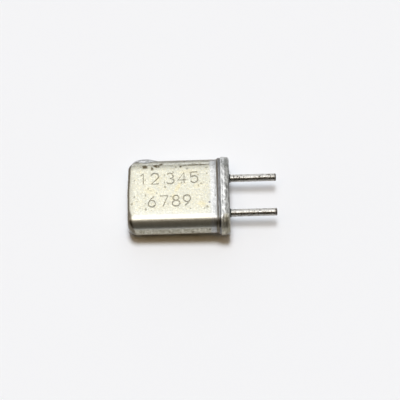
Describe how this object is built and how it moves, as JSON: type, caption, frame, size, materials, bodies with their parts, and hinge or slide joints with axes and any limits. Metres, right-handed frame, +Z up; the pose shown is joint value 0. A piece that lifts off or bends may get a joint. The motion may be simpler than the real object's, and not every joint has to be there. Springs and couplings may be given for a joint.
{
  "type": "crystal oscillator",
  "caption": "Flat oval metal can, soldered around its rim, with parallel plug-in pins in glass seals and a quartz disc held in springs inside.",
  "frame": {"origin": "on the surface that the unit lies on, under the middle of its overall box", "axes": "+X along the case towards the pins, +Y across the case towards the side with the vent, +Z up from the surface that it lies on"},
  "size_m": [0.0198, 0.011, 0.0045],
  "materials": {
    "cover_metal": "drawn nickel silver, dull and mottled, with small dark stains and faint yellow tarnish",
    "solder": "tin-lead solder, bluish silver, lumpy and greyed",
    "base_metal": "plated pressed sheet, satin",
    "seal_glass": "dark opaque sealing glass, glossy",
    "pin_metal": "tarnished plated wire, pitted and brownish grey",
    "spring_metal": "nickel ribbon, satin",
    "cement": "silver-filled conductive cement, matte",
    "quartz": "lapped and etched quartz, translucent",
    "electrode_film": "evaporated silver film, bright"
  },
  "bodies": {
    "root": {"cover": "cover_metal", "vent_solder": "solder", "seam_solder": "solder", "base_shell": "base_metal", "glass_seal_front": "seal_glass", "glass_seal_rear": "seal_glass", "pin_front": "pin_metal", "pin_rear": "pin_metal", "spring_front": "spring_metal", "spring_rear": "spring_metal", "cement_front": "cement", "cement_rear": "cement", "quartz_blank": "quartz", "electrode_top": "electrode_film", "electrode_bottom": "electrode_film"}
  },
  "joints": []
}
